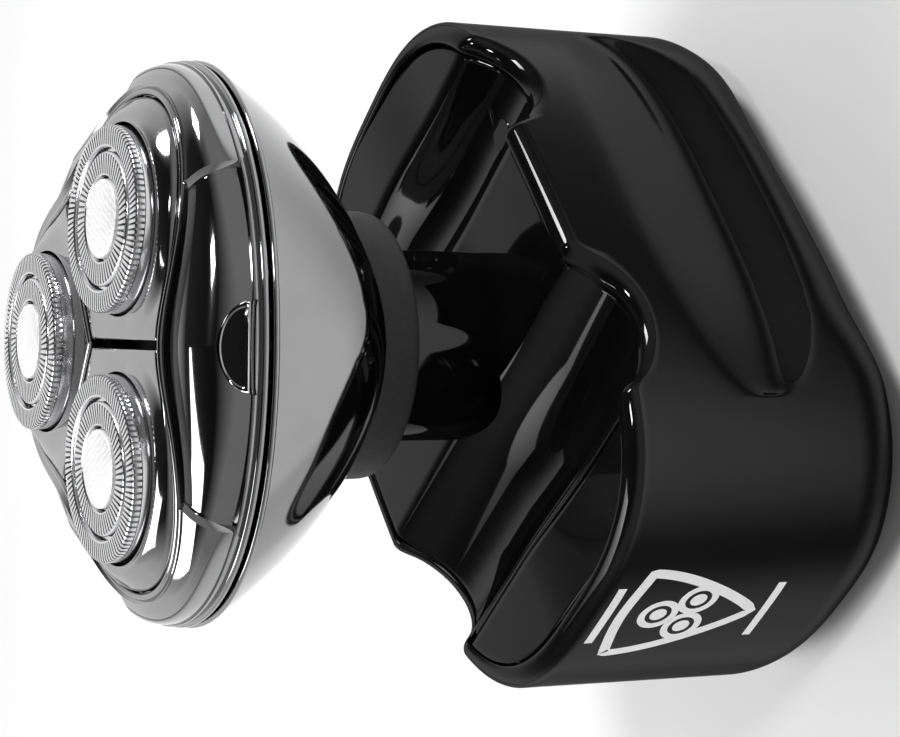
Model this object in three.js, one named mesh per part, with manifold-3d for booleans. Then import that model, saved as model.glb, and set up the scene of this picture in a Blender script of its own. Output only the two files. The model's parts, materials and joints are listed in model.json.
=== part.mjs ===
// A rotary palm shaver: a palm-sized handle, a short neck, and a flexing three-cutter head that
// opens on a hinge. Millimetres, +Z up. The handle lies palm side down on z = 0, the neck is the
// Z axis, the handle is long in X, and its thumb scoop faces -Y.
import * as THREE from 'three';
import { mergeVertices } from 'three/addons/utils/BufferGeometryUtils.js';
import Module from 'manifold-3d';

const wasm = await Module();
wasm.setup();

// ---- driving dimensions ----
const GAP = 0.3;

const HANDLE_HALF_LENGTH = 45.2;
const HANDLE_HALF_WIDTH = 31.1;
const HANDLE_SQUARENESS = 3;
const PALM_EDGE_RADIUS = 14;
const PALM_CORNER_TIGHTER = 3.5;
const PALM_END_TIGHTER = 2.5;
const WALL = 2.6;

const CREST_Z = 45.9;
const WING_Z = 43.8;
const CHANNEL_X = 21;
const CHANNEL_RADIUS = 10.6;
const CHANNEL_FLOOR_Z = 39;
const PANEL_RECESS = 1;
const PANEL_THICKNESS = 2;
const SEAM_NEAR_X = 12.9;
const SEAM_FAR_X = -30.5;

const SCOOP_HALF_LENGTH = 33;
const SCOOP_LOW_Z = 10;
const SCOOP_HIGH_Z = 33.8;
const SCOOP_DEPTH = 4.8;
const SCOOP_WALL_Y = -23.4;
const SCOOP_WALL_TOP = 35.6;

const NECK_RADIUS = 12.4;
const NECK_BORE = 10.6;
const NECK_TOP_Z = 63.3;
const PIVOT_Z = 62.1;
const COLLAR_RADIUS = 17.3;
const COLLAR_BORE = 14.6;
const COLLAR_BOTTOM_Z = 58.7;
const COLLAR_TOP_Z = 65.9;

const HEAD_YAW = THREE.MathUtils.degToRad(-132);
const SIXTH = Math.PI / 3;
const BOWL_BOTTOM_Z = 66.2;
const BOWL_FOOT_RADIUS = 17.2;
const BOWL_SIDE_SWELL = 0.24;
const BOWL_CORNER_SWELL = 0.61;
const RIM_Z = 85.5;
const RIM_RADIUS = 34;
const RIM_WAVE = 1.8;
const RING_WALL = 2.2;
const EDGE_LIP = 2.2;
const EDGE_SIDE_RADIUS = 21.5;
const EDGE_CORNER_RADIUS = 33.3;
const EDGE_SIDE_Z = 95.2;
const EDGE_CORNER_Z = 92.9;

const CUTTER_PITCH = 17.25;
const CAP_RADIUS = 11.25;
const CAP_TOP_Z = 97.6;
const CAP_TILT = THREE.MathUtils.degToRad(2.1);
const DISC_RADIUS = 4.75;

const SUN_TEETH = 15;
const PLANET_TEETH = 21;
const GEAR_MODULE = (2 * CUTTER_PITCH) / (SUN_TEETH + PLANET_TEETH);
const GEAR_Z = 79.6;
const GEAR_THICKNESS = 3;
const SPINDLE_RADIUS = 2.2;
const SPINDLE_TOP_Z = 92.8;

// ---- finishes ----
const gloss = { color: 0x0b0b0c, roughness: 0.08, metalness: 0 };
const rubber = { color: 0x1c1c1e, roughness: 0.65, metalness: 0 };
const blackChrome = { color: 0x5a5b5e, roughness: 0.12, metalness: 1 };
const steel = { color: 0xc9cbce, roughness: 0.22, metalness: 1 };
const satinSteel = { color: 0xe4e5e7, roughness: 0.4, metalness: 1 };
const nylon = { color: 0x2a2a2c, roughness: 0.55, metalness: 0 };
const acetal = { color: 0xd8d6cf, roughness: 0.5, metalness: 0 };
const brass = { color: 0xb08d4a, roughness: 0.35, metalness: 1 };
const boardGreen = { color: 0x1d5a34, roughness: 0.6, metalness: 0 };
const cellWrap = { color: 0x2e5fa8, roughness: 0.45, metalness: 0 };
const lens = { color: 0xbfd6e6, roughness: 0.1, metalness: 0 };

const part = new THREE.Group();

// ---- solids ----
function addMesh(name, geometry, finish, parent = part) {
  const mesh = new THREE.Mesh(geometry, new THREE.MeshStandardMaterial(finish));
  mesh.name = name;
  parent.add(mesh);
  return mesh;
}

function toSolid(geometry) {
  const bare = new THREE.BufferGeometry();
  bare.setAttribute('position', geometry.getAttribute('position').clone());
  if (geometry.index) bare.setIndex(geometry.index.clone());
  const merged = mergeVertices(bare, 1e-5);
  return new wasm.Manifold(new wasm.Mesh({
    numProp: 3,
    vertProperties: new Float32Array(merged.getAttribute('position').array),
    triVerts: new Uint32Array(merged.index.array),
  }));
}

function toGeometry(solid) {
  const mesh = solid.getMesh();
  const geometry = new THREE.BufferGeometry();
  geometry.setAttribute('position', new THREE.BufferAttribute(mesh.vertProperties, 3));
  geometry.setIndex(new THREE.BufferAttribute(mesh.triVerts, 1));
  geometry.computeVertexNormals();
  return geometry;
}

// A closed body through level loops of equal length, listed from the lowest up.
function stackLoops(loops) {
  const count = loops[0].length;
  const positions = loops.flat(2);
  const indices = [];
  for (let k = 0; k + 1 < loops.length; k++) {
    for (let i = 0; i < count; i++) {
      const j = (i + 1) % count;
      const a = k * count + i;
      const b = k * count + j;
      indices.push(a, b, b + count, a, b + count, a + count);
    }
  }
  const last = (loops.length - 1) * count;
  for (let i = 1; i + 1 < count; i++) {
    indices.push(0, i + 1, i);
    indices.push(last, last + i, last + i + 1);
  }
  const geometry = new THREE.BufferGeometry();
  geometry.setAttribute('position', new THREE.Float32BufferAttribute(positions, 3));
  geometry.setIndex(indices);
  return geometry;
}

// A closed ring whose [radius, z] section may change with the angle; sections run clockwise
// when r points right and z points up, so the faces point out.
function sweepSection(sectionAt, steps) {
  const positions = [];
  const indices = [];
  let count = 0;
  for (let k = 0; k < steps; k++) {
    const angle = (k / steps) * 2 * Math.PI;
    const section = sectionAt(angle);
    count = section.length;
    for (const [r, z] of section) positions.push(r * Math.cos(angle), r * Math.sin(angle), z);
  }
  for (let k = 0; k < steps; k++) {
    const next = (k + 1) % steps;
    for (let i = 0; i < count; i++) {
      const j = (i + 1) % count;
      indices.push(k * count + i, k * count + j, next * count + j);
      indices.push(k * count + i, next * count + j, next * count + i);
    }
  }
  const geometry = new THREE.BufferGeometry();
  geometry.setAttribute('position', new THREE.Float32BufferAttribute(positions, 3));
  geometry.setIndex(indices);
  return geometry;
}

function turned(section, steps = 30) {
  return sweepSection(() => section, steps);
}

// An annulus or, with no bore, a disc, standing on z = bottom.
function washer(outer, bore, bottom, height, steps = 28) {
  if (bore > 0) {
    return turned([[bore, bottom], [bore, bottom + height], [outer, bottom + height], [outer, bottom]],
      steps);
  }
  return new THREE.CylinderGeometry(outer, outer, height, steps)
    .rotateX(Math.PI / 2)
    .translate(0, 0, bottom + height / 2);
}

function box(x0, x1, y0, y1, z0, z1) {
  return new THREE.BoxGeometry(x1 - x0, y1 - y0, z1 - z0)
    .translate((x0 + x1) / 2, (y0 + y1) / 2, (z0 + z1) / 2);
}

function extruded(shape, bottom, height, curveSegments = 12) {
  return new THREE.ExtrudeGeometry(shape, { depth: height, bevelEnabled: false, curveSegments })
    .translate(0, 0, bottom);
}

function roundedRectangle(width, height, radius) {
  const x = width / 2;
  const y = height / 2;
  const shape = new THREE.Shape();
  shape.moveTo(-x + radius, -y);
  shape.lineTo(x - radius, -y);
  shape.absarc(x - radius, -y + radius, radius, -Math.PI / 2, 0);
  shape.lineTo(x, y - radius);
  shape.absarc(x - radius, y - radius, radius, 0, Math.PI / 2);
  shape.lineTo(-x + radius, y);
  shape.absarc(-x + radius, y - radius, radius, Math.PI / 2, Math.PI);
  shape.lineTo(-x, -y + radius);
  shape.absarc(-x + radius, -y + radius, radius, Math.PI, 1.5 * Math.PI);
  return shape;
}

// ---- handle ----
// Points round the handle's plan: a squarish oval, with the sine of each point's angle to tell
// how far towards +X it stands.
function handleLoop(insetAt, zAt, steps = 44) {
  const power = 2 / HANDLE_SQUARENESS;
  return Array.from({ length: steps }, (_, i) => {
    const angle = (i / steps) * 2 * Math.PI;
    const c = Math.cos(angle);
    const s = Math.sin(angle);
    const inset = insetAt(c);
    return [
      (HANDLE_HALF_LENGTH - inset) * Math.sign(c) * Math.abs(c) ** power,
      (HANDLE_HALF_WIDTH - inset) * Math.sign(s) * Math.abs(s) ** power,
      zAt(c),
    ];
  });
}

// Radius of the rounded palm edge: widest in the middle of each long side.
function palmEdgeRadius(c) {
  const corner = THREE.MathUtils.smoothstep(Math.abs(c), 0.2, 0.55);
  return PALM_EDGE_RADIUS - PALM_CORNER_TIGHTER * corner - PALM_END_TIGHTER * Math.abs(c) ** 16;
}

// The handle's outer form, or its cavity with an inset, up to z = top.
function handleBlock(inset, top) {
  const radiusAt = (c) => palmEdgeRadius(c) - inset;
  const loops = [0, 1 / 3, 2 / 3, 1].map((share) => {
    const angle = (share * Math.PI) / 2;
    return handleLoop(
      (c) => inset + radiusAt(c) * (1 - Math.sin(angle)),
      (c) => inset + radiusAt(c) * (1 - Math.cos(angle)),
    );
  });
  loops.push(handleLoop(() => inset, () => top));
  return toSolid(stackLoops(loops));
}

// Everything under the arched underside, lowered by drop: a flat crest, two finger channels
// running along Y, and the two wings.
function underArch(drop) {
  const reach = 50;
  const centreZ = CHANNEL_FLOOR_Z + CHANNEL_RADIUS;
  const crestHalf = Math.sqrt(CHANNEL_RADIUS ** 2 - (centreZ - CREST_Z) ** 2);
  const wingHalf = Math.sqrt(CHANNEL_RADIUS ** 2 - (centreZ - WING_Z) ** 2);
  const crestAngle = Math.atan2(CREST_Z - centreZ, crestHalf);
  const wingAngle = Math.atan2(WING_Z - centreZ, wingHalf);
  const arch = new THREE.Shape();
  arch.moveTo(-reach, -10);
  arch.lineTo(reach, -10);
  arch.lineTo(reach, WING_Z - drop);
  arch.absarc(CHANNEL_X, centreZ - drop, CHANNEL_RADIUS, wingAngle, -Math.PI - crestAngle, true);
  arch.absarc(-CHANNEL_X, centreZ - drop, CHANNEL_RADIUS, crestAngle, -Math.PI - wingAngle, true);
  arch.lineTo(-reach, WING_Z - drop);
  return toSolid(extruded(arch, -reach, 2 * reach, 7).rotateX(Math.PI / 2));
}

const SCREW_PLUG_Y = 18.7;
const PLUG_RADIUS = 2.3;

function plugPlaces() {
  return [-SCREW_PLUG_Y, SCREW_PLUG_Y];
}

const BUTTON_Z = 34;
const LIGHT_Z = 26;
const SOCKET_Z = 18;

// A stadium or circle cut through the +X end wall, or the piece that fills it.
function endPlug(width, height, z, x0, x1) {
  const outline = roundedRectangle(height, width, Math.min(width, height) / 2 - 0.01);
  return toSolid(extruded(outline, 0, x1 - x0, 4)
    .rotateY(Math.PI / 2)
    .translate(x0, 0, z));
}

// The thumb scoop on -Y: a long rounded hollow with a short ledge on its palm side, and a slanted
// wall from the foot of the ledge out to the crease.
function thumbScoop() {
  const steps = 32;
  const power = 2 / 3;
  const loopAt = (depth, halfLength, low, high) => Array.from({ length: steps }, (_, i) => {
    const angle = (i / steps) * 2 * Math.PI;
    const c = Math.cos(angle);
    const s = Math.sin(angle);
    return [
      halfLength * Math.sign(c) * Math.abs(c) ** power,
      (low + high) / 2 + ((high - low) / 2) * Math.sign(s) * Math.abs(s) ** power,
      HANDLE_HALF_WIDTH - depth,
    ];
  });
  const foot = SCOOP_LOW_Z + 6.5;
  return toSolid(stackLoops([
    loopAt(SCOOP_DEPTH, SCOOP_HALF_LENGTH - 5, foot, foot + 3),
    loopAt(SCOOP_DEPTH - 0.8, SCOOP_HALF_LENGTH - 2.5, foot - 1.8, foot + 6),
    loopAt(0, SCOOP_HALF_LENGTH, SCOOP_LOW_Z, SCOOP_HIGH_Z),
    loopAt(-3, SCOOP_HALF_LENGTH + 1, SCOOP_LOW_Z - 2, SCOOP_HIGH_Z + 1.5),
  ]).rotateX(Math.PI / 2));
}

function outerShell() {
  const top = 50;
  let shell = handleBlock(0, top).intersect(underArch(0));
  const behindScoop = toSolid(box(-50, 50, -40, SCOOP_WALL_Y, 0, SCOOP_WALL_TOP));
  const cavity = handleBlock(WALL, top + 5).subtract(behindScoop);
  shell = shell.subtract(thumbScoop()).subtract(cavity);
  shell = shell.subtract(endPlug(12.6, 7.6, BUTTON_Z, 38, 50));
  shell = shell.subtract(endPlug(6.6, 2.6, LIGHT_Z, 38, 50));
  shell = shell.subtract(endPlug(9.6, 6.6, SOCKET_Z, 38, 50));
  return toGeometry(shell);
}

function undersidePanel(x0, x1) {
  const inset = WALL + GAP;
  const drop = PANEL_RECESS;
  let panel = handleBlock(inset, 55).intersect(underArch(drop));
  panel = panel.subtract(underArch(drop + PANEL_THICKNESS));
  panel = panel.intersect(toSolid(box(x0, x1, -40, 40, 20, 60)));
  panel = panel.subtract(toSolid(washer(NECK_RADIUS + GAP, 0, 20, 40)));
  for (const y of plugPlaces()) {
    panel = panel.subtract(toSolid(washer(PLUG_RADIUS + GAP, 0, 20, 40, 20).translate(CHANNEL_X, y, 0)));
  }
  return toGeometry(panel);
}

function buildHandle() {
  const seamHalf = 0.3;
  addMesh('outer_shell', outerShell(), gloss);
  addMesh('underside_wing_left', undersidePanel(SEAM_NEAR_X + seamHalf, 50), gloss);
  addMesh('underside_panel', undersidePanel(SEAM_FAR_X + seamHalf, SEAM_NEAR_X - seamHalf), gloss);
  addMesh('underside_wing_right', undersidePanel(-50, SEAM_FAR_X - seamHalf), gloss);
  const plugTop = CHANNEL_FLOOR_Z - PANEL_RECESS - 0.1;
  plugPlaces().forEach((y, i) => {
    const plug = washer(PLUG_RADIUS, 0, plugTop - 1.6, 1.6, 20);
    addMesh(`screw_plug_${i + 1}`, plug.translate(CHANNEL_X, y, 0), gloss);
    addMesh(`case_screw_${i + 1}`, caseScrew(plugTop - 2).translate(CHANNEL_X, y, 0), steel);
  });
}

// A pan-head screw hanging below z = top, with a cross recess.
function caseScrew(top) {
  const headRadius = 2.1;
  const shankRadius = 1.1;
  let screw = toSolid(turnedOnAxis([[0, top - 8.5], [shankRadius, top - 8.5], [shankRadius, top - 1.6],
    [headRadius, top - 1.6], [headRadius, top - 0.4], [headRadius - 0.4, top], [0, top]], 16));
  for (const turn of [0, Math.PI / 2]) {
    screw = screw.subtract(toSolid(box(-1.3, 1.3, -0.3, 0.3, top - 0.9, top + 1).rotateZ(turn)));
  }
  return toGeometry(screw);
}

// A solid of revolution whose profile starts and ends on the axis, lowest point first.
function turnedOnAxis(profile, steps = 32) {
  return new THREE.LatheGeometry(profile.map(([r, z]) => new THREE.Vector2(r, z)), steps)
    .rotateX(Math.PI / 2);
}

// ---- handle internals ----
const BATTERY_RADIUS = 9.2;
const BATTERY_LENGTH = 62;
const BATTERY_Z = WALL + GAP + BATTERY_RADIUS;
const BATTERY_Y = 9.6;
const CHASSIS_Z = 23;
const CHASSIS_THICKNESS = 1.4;
const MOTOR_RADIUS = 9.8;
const MOTOR_TOP_Z = 52.6;
const MOTOR_BOTTOM_Z = MOTOR_TOP_Z - 25;
const SHAFT_RADIUS = 1.5;

function batteryCell(y) {
  const wrap = turnedOnAxis([[0, 0], [BATTERY_RADIUS - 0.4, 0], [BATTERY_RADIUS, 0.4],
    [BATTERY_RADIUS, BATTERY_LENGTH - 1.6], [BATTERY_RADIUS - 0.5, BATTERY_LENGTH - 1],
    [3, BATTERY_LENGTH - 1], [3, BATTERY_LENGTH], [0, BATTERY_LENGTH]], 16);
  return wrap.rotateY(Math.PI / 2).translate(-BATTERY_LENGTH / 2, y, BATTERY_Z);
}

function innerChassis() {
  let tray = toSolid(extruded(roundedRectangle(68, 42, 6), CHASSIS_Z, CHASSIS_THICKNESS, 3));
  for (const side of [-1, 1]) {
    tray = tray.add(toSolid(box(side * 32 - 1, side * 32 + 1, -16, 16, CHASSIS_Z + 0.5, CHASSIS_Z + 8)));
  }
  return toGeometry(tray);
}

function mainBoard() {
  const bottom = CHASSIS_Z + CHASSIS_THICKNESS + 1.2;
  let board = toSolid(box(-30, -12, -17, 17, bottom, bottom + 1.6));
  const parts = [[-26, -9, 6, 4], [-18, -8, 4, 4], [-22, 5, 8, 6], [-27, 12, 4, 3]];
  for (const [x, y, w, d] of parts) {
    board = board.add(toSolid(box(x, x + w, y - d / 2, y + d / 2, bottom + 1, bottom + 3)));
  }
  return toGeometry(board);
}

function chargingSocket() {
  const wallX = HANDLE_HALF_LENGTH - 1;
  let socket = toSolid(box(34, 41.8, -6, 6, SOCKET_Z - 4.5, SOCKET_Z + 4.5));
  socket = socket.add(endPlug(9, 6, SOCKET_Z, 41, wallX));
  return toGeometry(socket.subtract(endPlug(6.6, 3.6, SOCKET_Z, 37, wallX + 3)));
}

// The tube that carries the head, with a lug on each Y side that hooks under the crest.
function neckTube() {
  const panelBottom = CREST_Z - PANEL_RECESS - PANEL_THICKNESS;
  const lugReach = NECK_RADIUS + 3.5;
  const lugHalf = 9;
  const bore = new THREE.CylinderGeometry(1.5, 1.5, 40, 12).rotateZ(Math.PI / 2).translate(0, 0, PIVOT_Z);
  const lugs = toSolid(washer(lugReach, NECK_BORE + 0.5, panelBottom - 2, 2 - GAP, 30))
    .intersect(toSolid(box(-lugHalf, lugHalf, -lugReach, lugReach, 0, 60)));
  const tube = toSolid(washer(NECK_RADIUS, NECK_BORE, panelBottom - 2, NECK_TOP_Z - panelBottom + 2, 30));
  return toGeometry(tube.add(lugs).subtract(toSolid(bore)));
}

// The motor's can, a cup with a hole for the shaft in its end boss.
function motorCan() {
  const wall = 1.1;
  const shoulder = MOTOR_TOP_Z - 2;
  const hole = SHAFT_RADIUS + GAP;
  const inside = MOTOR_RADIUS - wall;
  return turnedOnAxis([[0, MOTOR_BOTTOM_Z], [MOTOR_RADIUS - 1, MOTOR_BOTTOM_Z],
    [MOTOR_RADIUS, MOTOR_BOTTOM_Z + 1], [MOTOR_RADIUS, shoulder], [3.5, shoulder],
    [3.5, MOTOR_TOP_Z], [hole, MOTOR_TOP_Z], [hole, shoulder - wall],
    [inside, shoulder - wall], [inside, MOTOR_BOTTOM_Z + wall], [0, MOTOR_BOTTOM_Z + wall]], 20);
}

// The motor's rotor, three wound poles on the shaft.
function motorRotor() {
  let rotor = toSolid(washer(MOTOR_RADIUS - 2, SHAFT_RADIUS + GAP, MOTOR_BOTTOM_Z + 4, 15, 24));
  for (const turn of [0, 1, 2]) {
    const slot = box(3.5, MOTOR_RADIUS, -0.7, 0.7, MOTOR_BOTTOM_Z, MOTOR_TOP_Z);
    rotor = rotor.subtract(toSolid(slot.rotateZ((turn * 2 * Math.PI) / 3)));
  }
  return toGeometry(rotor);
}

// The output shaft, with a slotted driver just under the pivot.
function driveShaft() {
  const driverRadius = 3;
  const driverBottom = NECK_TOP_Z - 5;
  const shaftBottom = MOTOR_BOTTOM_Z + 2;
  const shaft = toSolid(turnedOnAxis([[0, shaftBottom], [SHAFT_RADIUS, shaftBottom],
    [SHAFT_RADIUS, driverBottom], [driverRadius, driverBottom], [driverRadius, NECK_TOP_Z],
    [0, NECK_TOP_Z]], 16));
  return toGeometry(shaft.subtract(toSolid(box(-4, 4, -0.6, 0.6, NECK_TOP_Z - 1.2, NECK_TOP_Z + 1))));
}

function buildInternals() {
  const boss = HANDLE_HALF_LENGTH;
  addMesh('battery_cell_1', batteryCell(-BATTERY_Y), cellWrap);
  addMesh('battery_cell_2', batteryCell(BATTERY_Y), cellWrap);
  addMesh('inner_chassis', innerChassis(), nylon);
  addMesh('main_board', mainBoard(), boardGreen);
  addMesh('charging_socket', chargingSocket(), nylon);
  addMesh('tactile_switch', box(boss - 8.5, boss - 4.2, -3.5, 3.5, BUTTON_Z - 3, BUTTON_Z + 3), nylon);
  addMesh('status_light', toGeometry(endPlug(6, 2, LIGHT_Z, 40.5, boss - 0.2)), lens);
  addMesh('motor_can', motorCan(), steel);
  addMesh('motor_rotor', motorRotor(), steel);
  const bracket = washer(NECK_RADIUS + 2.2, MOTOR_RADIUS + GAP, CHANNEL_FLOOR_Z - 5, 2.8, 28);
  addMesh('motor_bracket', bracket, nylon);
  addMesh('neck_bearing', washer(NECK_BORE - GAP, SHAFT_RADIUS + GAP, MOTOR_TOP_Z + 1.6, 3, 24), brass);
  addMesh('neck_tube', neckTube(), gloss);
  addMesh('power_button', toGeometry(endPlug(12, 7, BUTTON_Z, boss - 3.4, boss + 0.3)), rubber);
  addMesh('drive_shaft', driveShaft(), steel);
}

// ---- flexing joint between neck and head ----
const GIMBAL_OUTER = 10.1;
const GIMBAL_INNER = 7.4;
const COUPLER_RADIUS = 6.9;
const COUPLER_BORE = 4.4;

function pin(radius, from, to, alongY) {
  const rod = new THREE.CylinderGeometry(radius, radius, to - from, 10).translate(0, (from + to) / 2, 0);
  if (!alongY) rod.rotateZ(-Math.PI / 2);
  return toSolid(rod.translate(0, 0, PIVOT_Z));
}

function gimbalRing() {
  let ring = toSolid(washer(GIMBAL_OUTER, GIMBAL_INNER, PIVOT_Z - 1.5, 3, 26));
  for (const side of [-1, 1]) {
    const ends = [side * (GIMBAL_OUTER - 1), side * (NECK_RADIUS - 0.6)].sort((a, b) => a - b);
    ring = ring.add(pin(1.2, ends[0], ends[1], false));
  }
  return toGeometry(ring.subtract(pin(1.3, -13, 13, true)));
}

function headCoupler() {
  const flangeBottom = COLLAR_TOP_Z;
  let coupler = toSolid(turned([[COUPLER_BORE, PIVOT_Z - 1.5], [COUPLER_BORE, flangeBottom + 2],
    [COLLAR_BORE - 0.4, flangeBottom + 2], [COLLAR_BORE - 0.4, flangeBottom],
    [COUPLER_RADIUS, flangeBottom], [COUPLER_RADIUS, PIVOT_Z - 1.5]], 26));
  for (const side of [-1, 1]) {
    const ends = [side * (COUPLER_RADIUS - 1), side * (GIMBAL_OUTER - 0.5)].sort((a, b) => a - b);
    coupler = coupler.add(pin(1, ends[0], ends[1], true));
  }
  return toGeometry(coupler);
}

// ---- head: shapes shared by the bowl, the ring and the petals ----
function sideShare(angle) {
  return (1 - Math.cos(3 * (angle - HEAD_YAW))) / 2;
}

function rimRadius(angle) {
  return RIM_RADIUS - RIM_WAVE * Math.cos(3 * (angle - HEAD_YAW));
}

function edgeRadius(angle) {
  return THREE.MathUtils.lerp(EDGE_SIDE_RADIUS, EDGE_CORNER_RADIUS, sideShare(angle));
}

function edgeZ(angle) {
  return THREE.MathUtils.lerp(EDGE_SIDE_Z, EDGE_CORNER_Z, sideShare(angle));
}

function bowlRadius(angle, z) {
  const share = THREE.MathUtils.clamp((z - BOWL_BOTTOM_Z) / (RIM_Z - BOWL_BOTTOM_Z), 0, 1);
  const swell = THREE.MathUtils.lerp(BOWL_SIDE_SWELL, BOWL_CORNER_SWELL, sideShare(angle));
  return THREE.MathUtils.lerp(BOWL_FOOT_RADIUS, rimRadius(angle), share ** swell);
}

function cutterAngles() {
  return [1, 3, 5].map((sixths) => HEAD_YAW + sixths * SIXTH);
}

// Moves a piece built round the Z axis to the cutter standing at the given angle.
function toCutter(geometry, angle, tilt = 0) {
  const topZ = CAP_TOP_Z;
  return geometry.translate(0, 0, -topZ)
    .rotateY(tilt)
    .translate(CUTTER_PITCH, 0, topZ)
    .rotateZ(angle);
}

// ---- release button ----
const RELEASE_DEPTH = 2.4;
const RELEASE_TRAVEL = 1;

// ---- hinge between bowl and ring, at the corner opposite the release button ----
const HINGE_ANGLE = HEAD_YAW + Math.PI;
const HINGE_RADIUS = 36.2;
const HINGE_Z = RIM_Z + 0.2;
const KNUCKLE_RADIUS = 1.9;
const HINGE_HALF = 5;
const KNUCKLE_HALF = 2;

function hingeRod(radius, from, to, steps = 14) {
  return toSolid(new THREE.CylinderGeometry(radius, radius, to - from, steps)
    .translate(HINGE_RADIUS, (from + to) / 2, HINGE_Z)
    .rotateZ(HINGE_ANGLE));
}

// The bowl swells out early under the three sides and runs nearly straight to the corners.
function bowlSection(angle) {
  const levels = [0, 0.02, 0.07, 0.25, 0.55, 1];
  const zAt = (share) => BOWL_BOTTOM_Z + share * (RIM_Z - BOWL_BOTTOM_Z);
  const outside = levels.map((share) => [bowlRadius(angle, zAt(share)), zAt(share)]).reverse();
  const inside = levels.slice(3).map((share) => [bowlRadius(angle, zAt(share)) - RING_WALL, zAt(share)]);
  return [[COLLAR_BORE, BOWL_BOTTOM_Z], [COLLAR_BORE, zAt(0.07)], ...inside, ...outside];
}

function baseBowl() {
  let bowl = toSolid(sweepSection(bowlSection, 42));
  for (const side of [-1, 1]) {
    const ends = [side * (KNUCKLE_HALF + GAP), side * HINGE_HALF].sort((a, b) => a - b);
    bowl = bowl.add(hingeRod(KNUCKLE_RADIUS, ends[0], ends[1]));
  }
  bowl = bowl.subtract(hingeRod(KNUCKLE_RADIUS + GAP, -KNUCKLE_HALF - GAP, KNUCKLE_HALF + GAP));
  // Room inside the wall for the pressed release button.
  bowl = bowl.subtract(releasePlug(GAP, -RELEASE_DEPTH - RELEASE_TRAVEL - GAP, 0));
  return toGeometry(bowl.subtract(hingeRod(1.1, -8, 8)));
}

function buildHeadBase() {
  addMesh('gimbal_ring', gimbalRing(), steel);
  addMesh('head_coupler', headCoupler(), nylon);
  addMesh('collar_boot', turned([[COLLAR_BORE, COLLAR_BOTTOM_Z], [COLLAR_BORE, COLLAR_TOP_Z],
    [COLLAR_RADIUS, COLLAR_TOP_Z], [COLLAR_RADIUS, COLLAR_BOTTOM_Z]], 36), rubber);
  addMesh('base_bowl', baseBowl(), blackChrome);
  addMesh('gear_tray', gearTray(), nylon);
  addMesh('gear_cover', gearCover(), nylon);
  addMesh('sun_gear', sunGear(), brass);
  cutterAngles().forEach((angle, i) => addMesh(`spindle_gear_${i + 1}`, spindleGear(angle), acetal));
  addMesh('hinge_pin', toGeometry(hingeRod(0.8, -HINGE_HALF, HINGE_HALF, 12)), steel);
}

// ---- gears ----
// Involute teeth with some backlash; the tooth numbered 0 is centred on the angle `phase`.
function gearShape(teeth, phase) {
  const pitch = (GEAR_MODULE * teeth) / 2;
  const base = pitch * Math.cos(THREE.MathUtils.degToRad(20));
  const tip = pitch + 0.85 * GEAR_MODULE;
  const root = pitch - 1.15 * GEAR_MODULE;
  const backlash = 0.14;
  const involute = (r) => (r > base ? Math.sqrt((r / base) ** 2 - 1) - Math.acos(base / r) : 0);
  const halfTooth = Math.PI / teeth / 2 - backlash / (2 * pitch) + involute(pitch);
  const radii = [root, pitch, tip];
  const points = [];
  for (let k = 0; k < teeth; k++) {
    const middle = phase + (k / teeth) * 2 * Math.PI;
    const rising = radii.map((r) => [r, middle - halfTooth + involute(r)]);
    const falling = [...radii].reverse().map((r) => [r, middle + halfTooth - involute(r)]);
    for (const [r, a] of rising.concat(falling)) {
      points.push(new THREE.Vector2(r * Math.cos(a), r * Math.sin(a)));
    }
  }
  return new THREE.Shape(points);
}

function sunGear() {
  const gear = toSolid(extruded(gearShape(SUN_TEETH, cutterAngles()[0]), GEAR_Z, GEAR_THICKNESS));
  const stem = toSolid(washer(2, 0, COLLAR_TOP_Z - 1, GEAR_Z - COLLAR_TOP_Z + 2, 12));
  return toGeometry(gear.add(stem));
}

// A gap of each spindle gear faces the sun gear's tooth on the line between the centres.
function spindleGear(angle) {
  const halfPitch = Math.PI / PLANET_TEETH;
  const gear = toSolid(extruded(gearShape(PLANET_TEETH, Math.PI + halfPitch), GEAR_Z, GEAR_THICKNESS));
  const pinBelow = toSolid(washer(1.4, 0, GEAR_Z - 2, 2.5, 12));
  const spindle = toSolid(washer(SPINDLE_RADIUS, 0, GEAR_Z + 2, SPINDLE_TOP_Z - GEAR_Z - 5, 12));
  const hex = toSolid(washer(SPINDLE_RADIUS, 0, SPINDLE_TOP_Z - 4, 4, 6));
  return toGeometry(gear.add(pinBelow).add(spindle).add(hex)
    .translate([CUTTER_PITCH, 0, 0])
    .rotate([0, 0, THREE.MathUtils.radToDeg(angle)]));
}

function gearTray() {
  const trayZ = GEAR_Z - 2.6;
  let tray = toSolid(washer(25, 2 + GAP, trayZ, 2.2, 28));
  for (const angle of cutterAngles()) {
    const hole = washer(1.7, 0, trayZ - 1, 6, 12).translate(CUTTER_PITCH, 0, 0).rotateZ(angle);
    tray = tray.subtract(toSolid(hole));
  }
  return toGeometry(tray);
}

function gearCover() {
  const bottom = GEAR_Z + GEAR_THICKNESS + 0.8;
  const radiusAt = (angle) => bowlRadius(angle, bottom) - RING_WALL - 0.8;
  const loop = (z) => Array.from({ length: 36 }, (_, i) => {
    const angle = (i / 36) * 2 * Math.PI;
    return [radiusAt(angle) * Math.cos(angle), radiusAt(angle) * Math.sin(angle), z];
  });
  let cover = toSolid(stackLoops([loop(bottom), loop(bottom + 1.2)]));
  for (const angle of cutterAngles()) {
    const hole = washer(SPINDLE_RADIUS + GAP, 0, bottom - 1, 4, 14);
    cover = cover.subtract(toSolid(hole.translate(CUTTER_PITCH, 0, 0).rotateZ(angle)));
  }
  return toGeometry(cover);
}

// ---- face: ring, retainer, release button, petals and cutters ----
const RING_BOTTOM_Z = RIM_Z + 0.4;
const RING_SHOULDER_Z = RIM_Z + 2.1;

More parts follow.
